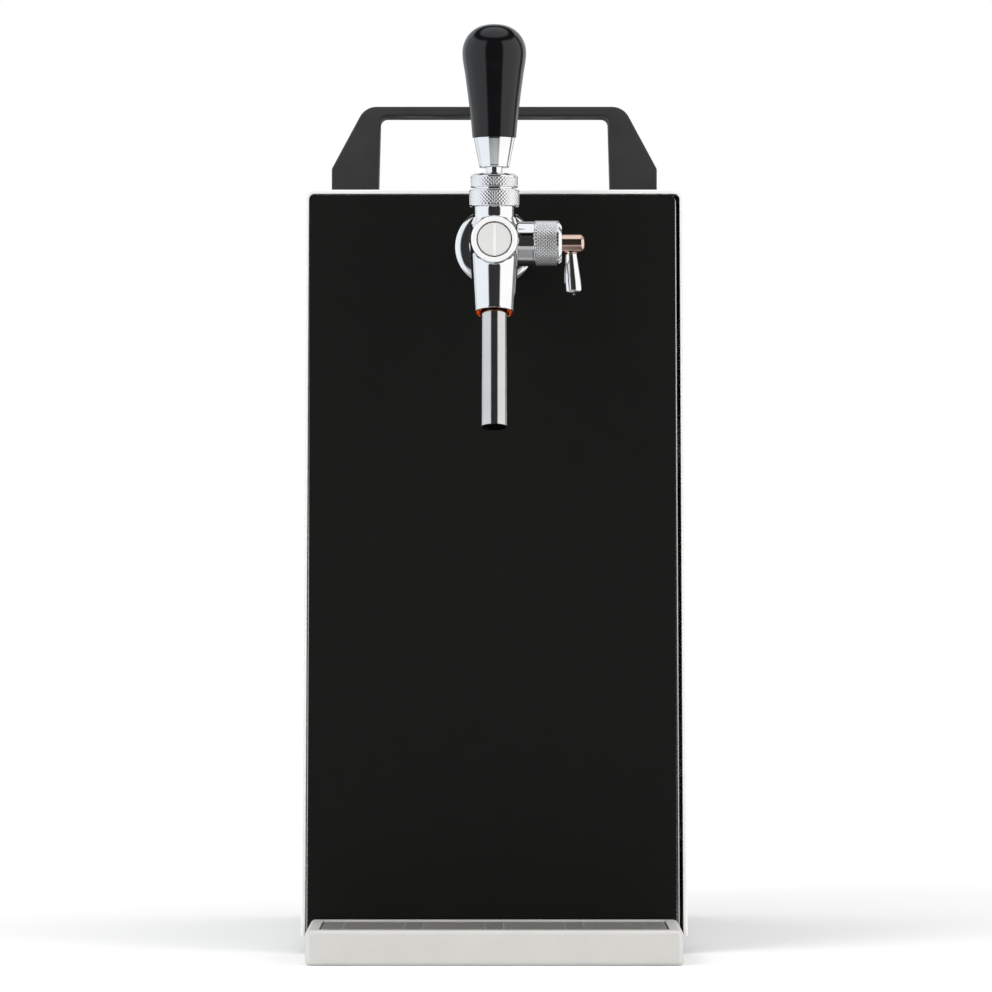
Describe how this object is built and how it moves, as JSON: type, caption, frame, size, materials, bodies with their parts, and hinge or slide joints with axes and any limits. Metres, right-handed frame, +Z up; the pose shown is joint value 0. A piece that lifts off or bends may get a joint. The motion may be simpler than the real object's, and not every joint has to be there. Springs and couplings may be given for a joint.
{
  "type": "mini keg beer dispenser",
  "caption": "Counter-top beer cooler with a tall steel case, carry handle, flow-compensator tap, drip tray, dry cooling block, compressor and fan.",
  "frame": {"origin": "middle of the footprint of case and drip tray, on the table", "axes": "+Z up, +Y towards the rear of the case, +X to the right seen from the front; the tap and tray face -Y"},
  "size_m": [0.196, 0.466, 0.4658],
  "materials": {
    "steel_case": "polished stainless sheet",
    "steel_panel": "satin stainless sheet",
    "steel_tray": "fine brushed stainless",
    "film": "satin black film",
    "handle_plastic": "fine moulded texture",
    "grip_plastic": "polished black",
    "chrome": "mirror chrome plate",
    "plug_metal": "satin face",
    "spout_steel": "drawn stainless tube",
    "rubber": "moulded rubber",
    "galvanised": "galvanised sheet",
    "foam": "closed-cell foam",
    "aluminium": "cast and machined",
    "copper": "drawn copper tube",
    "black_paint": "satin black paint",
    "fan_plastic": "moulded",
    "pump_plastic": "moulded",
    "hose": "food-grade hose",
    "fitting_plastic": "grey acetal",
    "inlet_plastic": "moulded",
    "knob_plastic": "moulded"
  },
  "bodies": {
    "cooler": {"case_shell": "steel_case", "front_panel": "steel_panel", "front_film": "film", "rear_panel": "steel_panel", "base_plate": "galvanised", "feet": "rubber", "carry_handle": "handle_plastic", "handle_screws": "plug_metal", "tap_body": "chrome", "front_plug": "plug_metal", "plug_washer": "rubber", "ball_seal": "rubber", "neck_nut": "chrome", "ball_cap": "chrome", "spout": "spout_steel", "spout_seal": "rubber", "rosette": "chrome", "tap_union_nut": "chrome", "tap_shank": "chrome", "shank_washer": "rubber", "shank_nut": "spout_steel", "compensator_nut": "chrome", "cooler_shelf": "galvanised", "insulation": "foam", "cold_block": "aluminium", "beer_coil": "spout_steel", "evaporator_coil": "copper", "compressor": "black_paint", "compressor_mounts": "rubber", "condenser_fins": "aluminium", "condenser_coil": "copper", "condenser_bracket": "galvanised", "fan_shroud": "fan_plastic", "fan_motor": "black_paint", "filter_drier": "copper", "refrigerant_lines": "copper", "air_pump": "pump_plastic", "air_hose": "hose", "beer_supply_hose": "hose", "beer_tap_hose": "hose", "beer_inlet": "fitting_plastic", "air_outlet": "fitting_plastic", "mains_inlet": "inlet_plastic", "switch_body": "inlet_plastic", "thermostat": "inlet_plastic"},
    "tap_handle": {"ball_lever": "chrome", "handle_ferrule": "chrome", "handle_grip": "grip_plastic"},
    "valve_spool": {"tap_spool": "spout_steel", "spool_seal": "rubber"},
    "flow_lever": {"compensator_stem": "chrome", "compensator_lever": "chrome"},
    "flow_cone": {"compensator_cone": "fitting_plastic"},
    "tray": {"drip_tray": "steel_tray"},
    "grate": {"drip_grate": "steel_tray"},
    "fan": {"fan_rotor": "fan_plastic"},
    "rocker": {"switch_rocker": "inlet_plastic"},
    "knob": {"thermostat_knob": "knob_plastic"},
    "beer_collet": {"beer_inlet_collet": "handle_plastic"},
    "air_collet": {"air_outlet_collet": "handle_plastic"}
  },
  "joints": [
    {"name": "pour_handle", "type": "hinge", "parent": "cooler", "child": "tap_handle", "pos_m": [0, -0.18995, 0.382], "axis": [1, 0, 0], "range_deg": [-14, 20]},
    {"name": "spool_slide", "type": "slide", "parent": "cooler", "child": "valve_spool", "axis": [0, 1, 0], "range_m": [-0.0048, 0.0068]},
    {"name": "flow_adjust", "type": "hinge", "parent": "cooler", "child": "flow_lever", "pos_m": [0.03, -0.16295, 0.358], "axis": [1, 0, 0], "range_deg": [-60, 60]},
    {"name": "flow_cone_slide", "type": "slide", "parent": "cooler", "child": "flow_cone", "axis": [0, -1, 0], "range_m": [-0.0014, 0.0014]},
    {"name": "tray_slide", "type": "slide", "parent": "cooler", "child": "tray", "axis": [0, -1, 0], "range_m": [0, 0.12]},
    {"name": "grate_lift", "type": "slide", "parent": "tray", "child": "grate", "axis": [0, 0, 1], "range_m": [0, 0.06]},
    {"name": "fan_spin", "type": "hinge", "parent": "cooler", "child": "fan", "pos_m": [0, 0.15355, 0.28], "axis": [0, 1, 0], "continuous": true},
    {"name": "power_switch", "type": "hinge", "parent": "cooler", "child": "rocker", "pos_m": [-0.058, 0.21105, 0.104], "axis": [1, 0, 0], "range_deg": [-10, 10]},
    {"name": "thermostat_turn", "type": "hinge", "parent": "cooler", "child": "knob", "pos_m": [0, 0.21405, 0.174], "axis": [0, 1, 0], "range_deg": [0, 270]},
    {"name": "beer_release", "type": "slide", "parent": "cooler", "child": "beer_collet", "axis": [0, -1, 0], "range_m": [0, 0.0011], "stiffness_N_per_m": 2000},
    {"name": "air_release", "type": "slide", "parent": "cooler", "child": "air_collet", "axis": [0, -1, 0], "range_m": [0, 0.0011], "stiffness_N_per_m": 2000}
  ],
  "couplings": [
    {"joint": "spool_slide", "follows": "pour_handle", "m_per_rad": 0.0187},
    {"joint": "flow_cone_slide", "follows": "flow_adjust", "m_per_rad": 0.00125}
  ]
}
